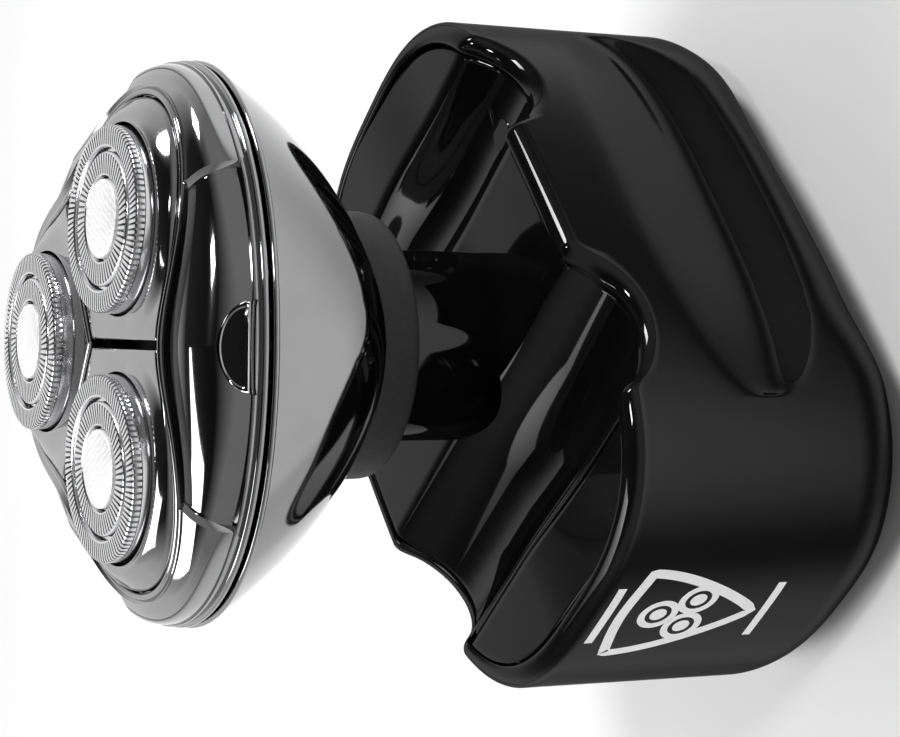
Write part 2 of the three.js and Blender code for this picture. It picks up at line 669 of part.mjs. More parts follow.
function ringSection(angle) {
  const rim = rimRadius(angle);
  const edge = edgeRadius(angle);
  const z = edgeZ(angle);
  return [[rim, RING_BOTTOM_Z], [rim - RING_WALL, RING_BOTTOM_Z], [rim - RING_WALL, RING_SHOULDER_Z - 0.6],
    [edge - RING_WALL + 0.4, z - 1.4], [edge - 1.2, z], [edge, z], [rim, RING_SHOULDER_Z]];
}

// Frame of the slanted panel in the middle of the release side: its centre and its outward tilt.
function releaseFrame() {
  const rim = new THREE.Vector2(rimRadius(HEAD_YAW), RING_SHOULDER_Z);
  const edge = new THREE.Vector2(EDGE_SIDE_RADIUS, EDGE_SIDE_Z);
  const slope = edge.clone().sub(rim).normalize();
  return { start: rim, slope, tilt: Math.atan2(-slope.x, slope.y) };
}

function halfOval(halfWidth, height) {
  const shape = new THREE.Shape();
  shape.moveTo(-halfWidth, 0);
  shape.lineTo(halfWidth, 0);
  shape.absellipse(0, 0, halfWidth, height, 0, Math.PI, false, 0);
  return shape;
}

// The half-oval button, or with a clearance the pocket that it slides in.
function releasePlug(clearance, inner, outer) {
  const { start, tilt } = releaseFrame();
  const plug = extruded(halfOval(5.3 + clearance, 4.2 + clearance), 0, outer - inner, 12);
  plug.translate(0, -clearance, inner);
  plug.applyMatrix4(new THREE.Matrix4().set(0, 0, 1, 0, 1, 0, 0, 0, 0, 1, 0, 0, 0, 0, 0, 1));
  plug.rotateY(-tilt).translate(start.x, 0, start.y).rotateZ(HEAD_YAW);
  return toSolid(plug);
}

function headRing() {
  let ring = toSolid(sweepSection(ringSection, 48));
  ring = ring.add(hingeRod(KNUCKLE_RADIUS, -KNUCKLE_HALF, KNUCKLE_HALF));
  for (const side of [-1, 1]) {
    const ends = [side * KNUCKLE_HALF, side * (HINGE_HALF + GAP)].sort((a, b) => a - b);
    ring = ring.subtract(hingeRod(KNUCKLE_RADIUS + GAP, ends[0], ends[1]));
  }
  ring = ring.subtract(hingeRod(1.1, -8, 8));
  return toGeometry(ring.subtract(releasePlug(GAP, -6, 6)));
}

// A three-armed plate inside the face that keeps the rotary blades in their caps.
function bladeRetainer() {
  const bottom = RIM_Z + 1.1;
  const thickness = 1.4;
  const hubBore = 5.2;
  const hubHeight = 2.2;
  const atCutter = (geometry, angle) => toSolid(geometry.translate(CUTTER_PITCH, 0, 0).rotateZ(angle));
  // The last side arm ends short of the release button.
  const sideReach = [28, 28, 23];
  let spider = toSolid(washer(5, 0, bottom, thickness, 20));
  cutterAngles().forEach((angle, i) => {
    spider = spider.add(atCutter(washer(hubBore + 1.8, 0, bottom, hubHeight, 16), angle));
    const inner = box(3, CUTTER_PITCH - 6, -2, 2, bottom, bottom + thickness);
    spider = spider.add(toSolid(inner.rotateZ(angle)));
    const arm = box(3, sideReach[i], -1.6, 1.6, bottom, bottom + thickness);
    spider = spider.add(toSolid(arm.rotateZ(angle + SIXTH)));
  });
  for (const angle of cutterAngles()) {
    spider = spider.subtract(atCutter(washer(hubBore, 0, bottom - 1, 4, 16), angle));
  }
  return toGeometry(spider);
}

// Loops of the domed top of the three petals, before they are cut apart.
function petalDome() {
  const thickness = 1.5;
  const steps = 42;
  const centreZ = EDGE_SIDE_Z + 0.3;
  const loopAt = (share, drop) => Array.from({ length: steps }, (_, i) => {
    const angle = (i / steps) * 2 * Math.PI;
    const r = share * (edgeRadius(angle) - EDGE_LIP);
    const z = THREE.MathUtils.lerp(centreZ, edgeZ(angle) - 0.1, share ** 3) - drop;
    return [r * Math.cos(angle), r * Math.sin(angle), z];
  });
  const shares = [0.04, 0.6, 1];
  const lower = shares.map((share) => loopAt(share, thickness));
  const upper = shares.map((share) => loopAt(share, 0)).reverse();
  return toSolid(stackLoops([...lower, ...upper]));
}

function petalWedge(angle) {
  const seam = 0.45;
  const reach = 80;
  const tip = seam / Math.sin(SIXTH);
  const wedge = new THREE.Shape([
    new THREE.Vector2(tip, 0),
    new THREE.Vector2(tip + reach * Math.cos(SIXTH), -reach * Math.sin(SIXTH)),
    new THREE.Vector2(tip + reach, 0),
    new THREE.Vector2(tip + reach * Math.cos(SIXTH), reach * Math.sin(SIXTH)),
  ]);
  return toSolid(extruded(wedge, 70, 40).rotateZ(angle));
}

function petal(dome, angle) {
  const hole = toCutter(washer(CAP_RADIUS + GAP, 0, 80, 30, 28), angle, CAP_TILT);
  return toGeometry(dome.intersect(petalWedge(angle)).subtract(toSolid(hole)));
}

function cutterCap(angle) {
  const top = CAP_TOP_Z;
  const wall = 0.9;
  const flange = CAP_RADIUS + 0.9;
  const bore = DISC_RADIUS + GAP;
  return toCutter(turned([[bore, top - wall], [bore, top], [CAP_RADIUS - 0.4, top], [CAP_RADIUS, top - 0.5],
    [CAP_RADIUS, top - 6.5], [flange, top - 6.5], [flange, top - 7.2], [CAP_RADIUS - wall, top - 7.2],
    [CAP_RADIUS - wall, top - wall]], 28), angle, CAP_TILT);
}

function centreDisc(angle) {
  const top = CAP_TOP_Z + 0.1;
  return toCutter(turnedOnAxis([[0, top - 0.9], [DISC_RADIUS, top - 0.9], [DISC_RADIUS, top - 0.3],
    [DISC_RADIUS - 0.4, top], [0, top]], 20), angle, CAP_TILT);
}

// A star of cutting arms on a hub, with a hexagonal socket for the spindle.
function rotaryBlade(angle) {
  const arms = 8;
  const top = CAP_TOP_Z - 1.3;
  const points = [];
  for (let k = 0; k < arms * 4; k++) {
    const r = k % 4 < 2 ? 9.6 : 6.2;
    const a = (k / (arms * 4)) * 2 * Math.PI;
    points.push(new THREE.Vector2(r * Math.cos(a), r * Math.sin(a)));
  }
  let blade = toSolid(extruded(new THREE.Shape(points), top - 1, 1));
  blade = blade.add(toSolid(washer(4.6, 0, top - 5, 4.5, 16)));
  blade = blade.subtract(toSolid(washer(SPINDLE_RADIUS + 0.9, 0, top - 6, 4.6, 16)));
  return toCutter(toGeometry(blade), angle, CAP_TILT);
}

function buildFace() {
  const dome = petalDome();
  addMesh('head_ring', headRing(), blackChrome);
  addMesh('release_button', toGeometry(releasePlug(0, -RELEASE_DEPTH, 0.5)), blackChrome);
  addMesh('blade_retainer', bladeRetainer(), nylon);
  cutterAngles().forEach((angle, i) => {
    addMesh(`petal_${i + 1}`, petal(dome, angle), blackChrome);
    addMesh(`cutter_cap_${i + 1}`, cutterCap(angle), steel);
    addMesh(`centre_disc_${i + 1}`, centreDisc(angle), satinSteel);
    addMesh(`rotary_blade_${i + 1}`, rotaryBlade(angle), steel);
  });
}

buildHandle();
buildInternals();
buildHeadBase();
buildFace();

export default part;
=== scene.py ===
# A rotary palm shaver: a glossy arched handle, a short neck and a three-cutter head in black chrome.
# Shapes are worked out in millimetres and stored in metres.
import json
import math

import bmesh
import bpy
import numpy as np
from mathutils import Matrix, Vector


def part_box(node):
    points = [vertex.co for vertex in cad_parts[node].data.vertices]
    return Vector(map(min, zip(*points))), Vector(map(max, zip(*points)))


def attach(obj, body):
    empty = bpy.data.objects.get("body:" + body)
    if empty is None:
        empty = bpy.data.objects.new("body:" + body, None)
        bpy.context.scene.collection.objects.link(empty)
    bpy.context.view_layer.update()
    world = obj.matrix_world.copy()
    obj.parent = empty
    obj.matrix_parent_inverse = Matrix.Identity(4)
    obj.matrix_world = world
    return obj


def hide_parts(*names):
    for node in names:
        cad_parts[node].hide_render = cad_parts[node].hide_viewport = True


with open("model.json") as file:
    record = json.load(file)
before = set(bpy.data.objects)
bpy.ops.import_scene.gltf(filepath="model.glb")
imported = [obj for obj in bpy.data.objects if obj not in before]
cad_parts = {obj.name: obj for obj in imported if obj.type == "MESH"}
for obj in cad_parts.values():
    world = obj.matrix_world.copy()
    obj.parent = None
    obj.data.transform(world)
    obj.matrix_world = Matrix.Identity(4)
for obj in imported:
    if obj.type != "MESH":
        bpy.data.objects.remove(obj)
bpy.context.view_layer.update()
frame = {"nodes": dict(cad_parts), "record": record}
MM = 0.001


def span(node):
    """Lowest and highest corner of a CAD node, in millimetres."""
    low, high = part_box(node)
    return np.array(low) / MM, np.array(high) / MM


def middle(node):
    low, high = span(node)
    return (low + high) / 2


# ---- driving dimensions, in millimetres ----
HALF_LENGTH, HALF_WIDTH, CREST_Z = span("outer_shell")[1]
SQUARENESS = 3.0
WING_Z = CREST_Z - 2.1
CHANNEL_FLOOR_Z = CREST_Z - 6.9
CHANNEL_X = middle("screw_plug_1")[0]
CHANNEL_RADIUS = 10.6
PALM_EDGE_RADIUS = 14.0
LIP_RADIUS = 2.2
LIP_SOFT = 1.5

# The thumb scoop: its middle, how far that falls along the handle, its reach and its two slopes.
SCOOP_X = 1.5
SCOOP_Z = 22.4
SCOOP_FALL = 0.03
SCOOP_HALF_LENGTH = 33.0
SCOOP_HALF_HEIGHT = 11.4
SCOOP_LEDGE_SLOPE = 0.74
SCOOP_WALL_SLOPE = 0.29
SCOOP_SIDE_Y = (12.0, 20.0)

# Node, width and height of each seat cut in the +X end, and where along X the cuts start and stop.
OPENINGS = (("power_button", 12.6, 7.6), ("status_light", 6.6, 2.6), ("charging_socket", 9.6, 6.6))
OPENING_X = (36.0, 48.0)

PANEL_RECESS = 1.0
FAR_RECESS = 0.12
PANEL_INSET = 2.95
SKIN_SOFT = 2.6
SEAM_X = [(span("underside_panel")[1][0] + span("underside_wing_left")[0][0]) / 2,
          (span("underside_panel")[0][0] + span("underside_wing_right")[1][0]) / 2]
STRIP_Y = ((-26.6, 26.6), (-25.0, 22.0))

NECK_RADIUS = span("neck_tube")[1][0]
NECK_BOTTOM_Z = span("neck_tube")[0][2]
NECK_TOP_Z = span("neck_tube")[1][2]
COLLAR_LOW_Z = span("collar_boot")[0][2]
COLLAR_RADIUS, _, COLLAR_HIGH_Z = span("collar_boot")[1]
HEAD_BORE = 14.6

# Direction of the side with the release button; the head repeats every 120 degrees.
HEAD_YAW = math.radians(-132)
BOWL_BOTTOM_Z = span("base_bowl")[0][2]
RIM_Z = BOWL_BOTTOM_Z + 19.3
BOWL_FOOT_RADIUS = 17.2
# Exponents of the bowl's outline: the lower, the sooner it swells above its foot.
BOWL_SIDE_SWELL = 0.24
BOWL_CORNER_SWELL = 0.61
HEAD_RADIUS = 34.0
HEAD_WAVE = 1.8
SHOULDER_Z = RIM_Z + 2.1
EDGE_SIDE_Z = span("head_ring")[1][2]
EDGE_CORNER_Z = EDGE_SIDE_Z - 2.3
EDGE_SIDE_RADIUS = 21.5
EDGE_CORNER_RADIUS = 33.3
BAND_HALF_DEGREES = 38.0

HINGE_ANGLE = HEAD_YAW + math.pi
HINGE_RADIUS = 36.2
HINGE_Z = middle("hinge_pin")[2]

KEY_HALF = 5.3
KEY_HEIGHT = 4.2
KEY_BASE = 0.25
KEY_BACK = -1.1
KEY_PROUD = 1.2
KEY_GAP = 0.12

CAP_TOP_Z = 97.6
CAP_RADIUS = 11.25
CAP_GAP = 0.3
CAP_TILT = math.radians(2.1)
GROOVE_RADIUS = 8.3
DISC_RADIUS = 4.75

# Radius, or share of a radius, at which a surface that runs in to its axis stops and is capped.
PINHOLE = 0.02

PLASTIC_IOR = 1.45


# ---- procedural finishes ----
def new_material(name):
    material = bpy.data.materials.new(name)
    material.use_nodes = True
    tree = material.node_tree
    return material, tree, tree.nodes["Principled BSDF"]


def add_node(tree, kind, **inputs):
    node = tree.nodes.new(kind)
    for key, value in inputs.items():
        node.inputs[key.replace("_", " ")].default_value = value
    return node


def noise(tree, scale, detail=3.0, vector=None):
    node = add_node(tree, "ShaderNodeTexNoise", Scale=scale, Detail=detail)
    if vector is None:
        vector = tree.nodes.new("ShaderNodeTexCoord").outputs["Object"]
    tree.links.new(vector, node.inputs["Vector"])
    return node.outputs["Fac"]


def mapped(tree, source, low, high):
    node = add_node(tree, "ShaderNodeMapRange", To_Min=low, To_Max=high)
    tree.links.new(source, node.inputs["Value"])
    return node.outputs["Result"]


def blended(tree, source, dark, light):
    node = tree.nodes.new("ShaderNodeMix")
    node.data_type = "RGBA"
    node.inputs["A"].default_value = (*dark, 1)
    node.inputs["B"].default_value = (*light, 1)
    tree.links.new(source, node.inputs["Factor"])
    return node.outputs["Result"]


def bumped(tree, source, strength):
    node = add_node(tree, "ShaderNodeBump", Strength=strength, Distance=0.1 * MM)
    tree.links.new(source, node.inputs["Height"])
    return node.outputs["Normal"]


def finish(name, dark, light, rough, metallic=0.0, grain=900.0, bump=0.0, bump_scale=2500.0):
    """A moulded, plated or painted finish: colour and roughness drift slightly, with a fine relief."""
    material, tree, shader = new_material(name)
    tree.links.new(blended(tree, noise(tree, grain), dark, light), shader.inputs["Base Color"])
    tree.links.new(mapped(tree, noise(tree, grain * 0.3, 5.0), *rough), shader.inputs["Roughness"])
    shader.inputs["Metallic"].default_value = metallic
    shader.inputs["IOR"].default_value = PLASTIC_IOR
    if bump:
        tree.links.new(bumped(tree, noise(tree, bump_scale), bump), shader.inputs["Normal"])
    return material


def gloss_finish():
    """Deep black lacquer; a ramp over the viewing angle takes its reflection down to nothing edge on."""
    material = finish("gloss_black", (0.002, 0.002, 0.0022), (0.0045, 0.0045, 0.005), (0.03, 0.07),
                      grain=120.0, bump=0.02, bump_scale=60.0)
    tree = material.node_tree
    facing = add_node(tree, "ShaderNodeLayerWeight", Blend=0.5).outputs["Facing"]
    ramp = tree.nodes.new("ShaderNodeValToRGB")
    ramp.color_ramp.interpolation = "B_SPLINE"
    elements = ramp.color_ramp.elements
    stops = [(0.0, 1.0), (0.14, 1.0), (0.3, 0.14), (0.42, 0.16), (0.55, 0.5), (0.72, 0.04), (1.0, 0.0)]
    while len(elements) < len(stops):
        elements.new(0.5)
    for element, (position, level) in zip(elements, stops):
        element.position = position
        element.color = (level, level, level, 1)
    tree.links.new(facing, ramp.inputs["Fac"])
    strength = mapped(tree, ramp.outputs["Color"], 1.0, 1.5)
    tree.links.new(strength, tree.nodes["Principled BSDF"].inputs["IOR"])
    return material


def chrome_finish():
    return finish("chrome_black", (0.3, 0.3, 0.305), (0.36, 0.36, 0.365), (0.04, 0.09), metallic=1.0,
                  grain=150.0)


def rubber_finish():
    return finish("rubber_black", (0.012, 0.012, 0.013), (0.026, 0.026, 0.028), (0.55, 0.75),
                  grain=1500.0, bump=0.25)


def nylon_finish():
    return finish("nylon_black", (0.02, 0.02, 0.021), (0.04, 0.04, 0.042), (0.45, 0.6), bump=0.15)


def acetal_finish():
    return finish("acetal_white", (0.72, 0.71, 0.66), (0.82, 0.81, 0.77), (0.35, 0.5), bump=0.08)


def brass_finish():
    return finish("brass_part", (0.52, 0.37, 0.13), (0.66, 0.49, 0.2), (0.22, 0.38), metallic=1.0)


def wrap_finish():
    return finish("cell_wrap", (0.02, 0.08, 0.3), (0.03, 0.12, 0.38), (0.25, 0.4), grain=400.0)


def steel_finish():
    return finish("polished_steel", (0.6, 0.6, 0.61), (0.74, 0.74, 0.75), (0.1, 0.22), metallic=1.0,
                  grain=700.0)


def lens_finish():
    return finish("light_lens", (0.5, 0.6, 0.68), (0.6, 0.7, 0.78), (0.05, 0.12), grain=500.0)


def silver_finish():
    return finish("silver_mark", (0.9, 0.9, 0.9), (0.98, 0.98, 0.98), (0.4, 0.5), grain=3000.0)


def board_finish():
    """Green board with a grid of lighter tracks."""
    material, tree, shader = new_material("board_green")
    tracks = add_node(tree, "ShaderNodeTexBrick", Scale=260.0, Mortar_Size=0.03, Color1=(0.01, 0.14, 0.05, 1),
                      Color2=(0.012, 0.17, 0.06, 1), Mortar=(0.05, 0.3, 0.12, 1))
    tree.links.new(tree.nodes.new("ShaderNodeTexCoord").outputs["Object"], tracks.inputs["Vector"])
    tree.links.new(tracks.outputs["Color"], shader.inputs["Base Color"])
    shader.inputs["Roughness"].default_value = 0.4
    return material


def turned_steel_finish():
    """Steel with fine lathe lines running round the piece's own axis."""
    material, tree, shader = new_material("turned_steel")
    split = tree.nodes.new("ShaderNodeSeparateXYZ")
    tree.links.new(tree.nodes.new("ShaderNodeTexCoord").outputs["Object"], split.inputs["Vector"])
    radius = tree.nodes.new("ShaderNodeVectorMath")
    radius.operation = "LENGTH"
    flat = tree.nodes.new("ShaderNodeCombineXYZ")
    tree.links.new(split.outputs["X"], flat.inputs["X"])
    tree.links.new(split.outputs["Y"], flat.inputs["Y"])
    tree.links.new(flat.outputs["Vector"], radius.inputs[0])
    lines = tree.nodes.new("ShaderNodeCombineXYZ")
    tree.links.new(radius.outputs["Value"], lines.inputs["X"])
    tree.links.new(split.outputs["Z"], lines.inputs["Y"])
    pattern = noise(tree, 6000.0, 2.0, lines.outputs["Vector"])
    tree.links.new(blended(tree, pattern, (0.62, 0.62, 0.63), (0.8, 0.8, 0.81)), shader.inputs["Base Color"])
    tree.links.new(mapped(tree, pattern, 0.12, 0.24), shader.inputs["Roughness"])
    shader.inputs["Metallic"].default_value = 1.0
    return material


def satin_finish():
    """Near-white satin steel with faint wavy brushing."""
    material, tree, shader = new_material("satin_steel")
    wave = add_node(tree, "ShaderNodeTexWave", Scale=420.0, Distortion=6.0, Detail=2.0, Detail_Scale=1.5)
    tree.links.new(tree.nodes.new("ShaderNodeTexCoord").outputs["Object"], wave.inputs["Vector"])
    tree.links.new(blended(tree, wave.outputs["Fac"], (0.74, 0.74, 0.74), (0.9, 0.9, 0.9)),
                   shader.inputs["Base Color"])
    tree.links.new(mapped(tree, wave.outputs["Fac"], 0.42, 0.5), shader.inputs["Roughness"])
    shader.inputs["Metallic"].default_value = 0.55
    return material


GLOSS = gloss_finish()
CHROME = chrome_finish()
RUBBER = rubber_finish()
NYLON = nylon_finish()
STEEL = steel_finish()
TURNED = turned_steel_finish()
SATIN = satin_finish()
SILVER = silver_finish()
LENS = lens_finish()


# ---- mesh making ----
def make_piece(name, points, faces, material, body, stands_for=(), place=None, sharp=35.0):
    """A mesh from points in millimetres; place is a matrix in metres for a piece with its own frame."""
    mesh = bpy.data.meshes.new(name)
    mesh.from_pydata((np.asarray(points, float).reshape(-1, 3) * MM).tolist(), [], faces)
    work = bmesh.new()
    work.from_mesh(mesh)
    bmesh.ops.remove_doubles(work, verts=work.verts, dist=1e-7)
    bmesh.ops.recalc_face_normals(work, faces=work.faces)
    work.to_mesh(mesh)
    work.free()
    mesh.shade_smooth()
    mesh.set_sharp_from_angle(angle=math.radians(sharp))
    piece = bpy.data.objects.new(name, mesh)
    bpy.context.scene.collection.objects.link(piece)
    piece.data.materials.append(material)
    if place is not None:
        piece.matrix_world = place
    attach(piece, body)
    if stands_for:
        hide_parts(*stands_for)
    return piece


def grid_faces(rows, columns, closed=True, start=0):
    """Quads between stacked rows of points; closed joins the last column to the first."""
    faces = []
    last = columns if closed else columns - 1
    for row in range(rows - 1):
        for i in range(last):
            j = (i + 1) % columns
            a = start + row * columns
            faces.append((a + i, a + j, a + columns + j, a + columns + i))
    return faces


def turned_piece(name, profile, material, body, stands_for=(), place=None, steps=96):
    """A solid of revolution round Z from (radius, z) points; an open profile is capped at both ends."""
    angles = np.linspace(0, 2 * math.pi, steps, endpoint=False)
    rows = [[(r * math.cos(a), r * math.sin(a), z) for a in angles] for r, z in profile]
    faces = grid_faces(len(rows), steps)
    if profile[0] != profile[-1]:
        end = (len(rows) - 1) * steps
        faces.append(tuple(range(steps)))
        faces.append(tuple(range(end, end + steps)))
    make_piece(name, rows, faces, material, body, stands_for, place)


def carve(piece, prisms, place, sharp):
    """Cuts prisms, each given as two rows of points in millimetres, out of a piece."""
    points, faces = [], []
    for rows in prisms:
        count, start = len(rows[0]), len(points)
        points.extend(rows[0] + rows[1])
        faces.extend(grid_faces(2, count, start=start))
        faces.append(tuple(range(start + count - 1, start - 1, -1)))
        faces.append(tuple(range(start + count, start + 2 * count)))
    mesh = bpy.data.meshes.new("cutter")
    mesh.from_pydata((np.array(points) * MM).tolist(), [], faces)
    work = bmesh.new()
    work.from_mesh(mesh)
    bmesh.ops.recalc_face_normals(work, faces=work.faces)
    work.to_mesh(mesh)
    work.free()
    cutter = bpy.data.objects.new("cutter", mesh)
    bpy.context.scene.collection.objects.link(cutter)
    cutter.matrix_world = place
    cut = piece.modifiers.new("pocket", "BOOLEAN")
    cut.operation = "DIFFERENCE"
    cut.solver = "EXACT"
    cut.object = cutter
    bpy.context.view_layer.update()
    carved = bpy.data.meshes.new_from_object(piece.evaluated_get(bpy.context.evaluated_depsgraph_get()))
    piece.modifiers.remove(cut)
    piece.data = carved
    carved.set_sharp_from_angle(angle=math.radians(sharp))
    bpy.data.objects.remove(cutter)


def rounded_profile(corners, radii):
    """Replaces each corner of a closed outline by a short curve; a radius of 0 keeps the corner."""
    points = []
    count = len(corners)
    for i, (corner, radius) in enumerate(zip(corners, radii)):
        here = np.array(corner, float)
        if radius == 0:
            points.append(tuple(here))
            continue
        before = np.array(corners[i - 1], float) - here
        after = np.array(corners[(i + 1) % count], float) - here
        start = here + before / np.linalg.norm(before) * radius
        end = here + after / np.linalg.norm(after) * radius
        for t in np.linspace(0, 1, 5):
            points.append(tuple((1 - t) ** 2 * start + 2 * t * (1 - t) * here + t ** 2 * end))
    return points


def smooth_step(value, low, high):
    """Rises smoothly from 0 at low to 1 at high."""
    t = np.clip((value - low) / (high - low), 0, 1)
    return t * t * (3 - 2 * t)


# ---- handle: plan, arch and palm edge ----
def plan_point(c, s, inset):
    """Point of the handle's plan, a squared oval, for the cosine and sine of an angle."""
    power = 2 / SQUARENESS
    x = (HALF_LENGTH - inset) * np.sign(c) * np.abs(c) ** power
    y = (HALF_WIDTH - inset) * np.sign(s) * np.abs(s) ** power
    return x, y


def plan_angles(count):
    """Angles of evenly spaced points on the plan, three times closer on the scooped side."""
    closer = 3
    dense = np.linspace(0, 2 * math.pi, 40001)
    x, y = plan_point(np.cos(dense), np.sin(dense), 0)
    steps = np.hypot(np.diff(x), np.diff(y))
    near_scoop = smooth_step(-(y[1:] + y[:-1]) / 2, 8.0, 20.0)
    travelled = np.concatenate([[0], np.cumsum(steps * (1 + (closer - 1) * near_scoop))])
    return np.interp(np.linspace(0, travelled[-1], count, endpoint=False), travelled, dense)


def raw_arch(x):
    """Height of the arched underside before its corners are eased: crest, two channels and two wings."""
    centre = CHANNEL_FLOOR_Z + CHANNEL_RADIUS
    off = np.abs(np.abs(x) - CHANNEL_X)
    channel = centre - np.sqrt(np.clip(CHANNEL_RADIUS ** 2 - off ** 2, 0, None))
    top = np.where(np.abs(x) < CHANNEL_X, CREST_Z, WING_Z)
    return np.where(off < CHANNEL_RADIUS, np.minimum(channel, top), top)


def arch(x, softness):
    """Height of the arched underside with its corners eased over the given half width."""
    shifts = np.linspace(-softness, softness, 15)
    weights = np.cos(shifts / softness * math.pi / 2)
    heights = [raw_arch(np.asarray(x) + shift) * weight for shift, weight in zip(shifts, weights)]
    return sum(heights) / weights.sum()


def arch_slope(x, softness):
    step = 0.05
    return (arch(x + step, softness) - arch(x - step, softness)) / (2 * step)


def palm_radius(c):
    """Radius of the palm edge, which gets tighter at the corners and at the two ends."""
    corner_loss, end_loss, end_power = 3.5, 2.5, 16
    corner = smooth_step(np.abs(c), 0.2, 0.55)
    return PALM_EDGE_RADIUS - corner_loss * corner - end_loss * np.abs(c) ** end_power


def scoop_depth(x, z):
    """Depth of the thumb scoop below the side wall: a steep ledge and a long slanted wall."""
    bottom_blend, brink_blend = 1.4, 0.5
    u = np.abs((x - SCOOP_X) / SCOOP_HALF_LENGTH)
    inside = 1 - u ** 2.5
    half = SCOOP_HALF_HEIGHT * np.sign(inside) * np.abs(inside) ** 0.4
    centre = SCOOP_Z - SCOOP_FALL * x
    ledge = (z - (centre - half)) * SCOOP_LEDGE_SLOPE
    wall = ((centre + half) - z) * SCOOP_WALL_SLOPE
    depth = (ledge + wall - np.sqrt((ledge - wall) ** 2 + bottom_blend ** 2)) / 2
    return (depth + np.sqrt(depth ** 2 + brink_blend ** 2)) / 2


def handle_shell():
    """Rows from the middle of the palm face, up the scooped wall and over the lip to the inside."""
    columns = 640
    angles = plan_angles(columns)
    c, s = np.cos(angles), np.sin(angles)
    x0, y0 = plan_point(c, s, 0)
    normal = np.stack([np.sign(x0) * np.abs(x0) ** (SQUARENESS - 1) / HALF_LENGTH ** SQUARENESS,
                       np.sign(y0) * np.abs(y0) ** (SQUARENESS - 1) / HALF_WIDTH ** SQUARENESS])
    normal = normal / np.linalg.norm(normal, axis=0)
    radius = palm_radius(c)
    wall_top = arch(x0, LIP_SOFT) - LIP_RADIUS * np.sqrt(1 + arch_slope(x0, LIP_SOFT) ** 2)

    x, y = plan_point(c, s, radius)
    rows = [np.stack([x * share, y * share, np.zeros(columns)], 1) for share in (PINHOLE, 0.3, 0.6, 0.85)]
    palm_rows = len(rows)
    for turn in np.linspace(0, math.pi / 2, 25):
        x, y = plan_point(c, s, radius * (1 - math.sin(turn)))
        rows.append(np.stack([x, y, radius * (1 - math.cos(turn))], 1))
    for share in np.linspace(0, 1, 84)[1:]:
        rows.append(np.stack([x0, y0, radius + (wall_top - radius) * share], 1))
    for row in rows[palm_rows:]:
        depth = scoop_depth(row[:, 0], row[:, 2]) * smooth_step(-y0, *SCOOP_SIDE_Y)
        row[:, 0] -= normal[0] * depth
        row[:, 1] -= normal[1] * depth

    outside = [(LIP_RADIUS * (1 - math.cos(t)), LIP_RADIUS * (1 - math.sin(t)))
               for t in np.linspace(0, math.pi / 2, 12)[1:]]
    rolled_in = [(0.2, 0.03), (0.38, 0.14), (0.5, 0.36), (0.55, 0.8), (0.55, 3.0)]
    for inset, drop in outside + [(LIP_RADIUS + step, drop) for step, drop in rolled_in]:
        x, y = plan_point(c, s, inset)
        z = arch(x, LIP_SOFT) - drop * np.sqrt(1 + arch_slope(x, LIP_SOFT) ** 2)
        rows.append(np.stack([x, y, z], 1))
    closing = rows[-1] * PINHOLE
    closing[:, 2] = CHANNEL_FLOOR_Z - 8
    rows.append(closing)
    end = (len(rows) - 1) * columns
    faces = grid_faces(len(rows), columns)
    faces.append(tuple(range(columns)))
    faces.append(tuple(range(end, end + columns)))
    shell = make_piece("handle_shell", rows, faces, GLOSS, "handle", ["outer_shell"],
                       sharp=50.0)
    cut_openings(shell)


def cut_openings(shell):
    """Cuts the seats of the power button, the light and the charging socket out of the +X end."""
    prisms = []
    for node, width, height in OPENINGS:
        centre = middle(node)
        outline = stadium(width, height)
        prisms.append([[(x, centre[1] + y, centre[2] + z) for y, z in outline] for x in OPENING_X])
    carve(shell, prisms, Matrix.Identity(4), 50)


def lip(y):
    """Share of the raised lip: whole on the scooped side, and fading out towards the far side."""
    return 1 - smooth_step(y, -14.0, 6.0)


def skin_height(x, y):
    recess = FAR_RECESS + (PANEL_RECESS - FAR_RECESS) * lip(y)
    return arch(x, SKIN_SOFT) - recess


def seam_strip(name, x_mid, y0, y1):
    """A narrow raised strip with round ends laid along a seam of the underside."""
    half, crown, sunk = 0.62, 0.3, 0.25
    columns = 13
    end_turns = np.linspace(0, math.pi / 2, 8)
    rows = []
    for y in np.concatenate([y0 + half * (1 - np.cos(end_turns)),
                             np.linspace(y0 + half, y1 - half, 60)[1:-1],
                             y1 - half * (1 - np.cos(end_turns[::-1]))]):
        end = max(y0 + half - y, y - (y1 - half), 0.0)
        wide = math.sqrt(max(half ** 2 - end ** 2, 1e-4))
        across = np.linspace(-wide, wide, columns)
        rise = crown * np.sqrt(np.clip(1 - (across / half) ** 2 - (end / half) ** 2, 0, 1)) ** 0.6
        x = x_mid + across
        rows.append(np.stack([x, np.full(columns, y), skin_height(x, y) - sunk + rise], 1))
    faces = grid_faces(len(rows), columns, closed=False)
    make_piece(name, rows, faces, GLOSS, "handle", sharp=60.0)


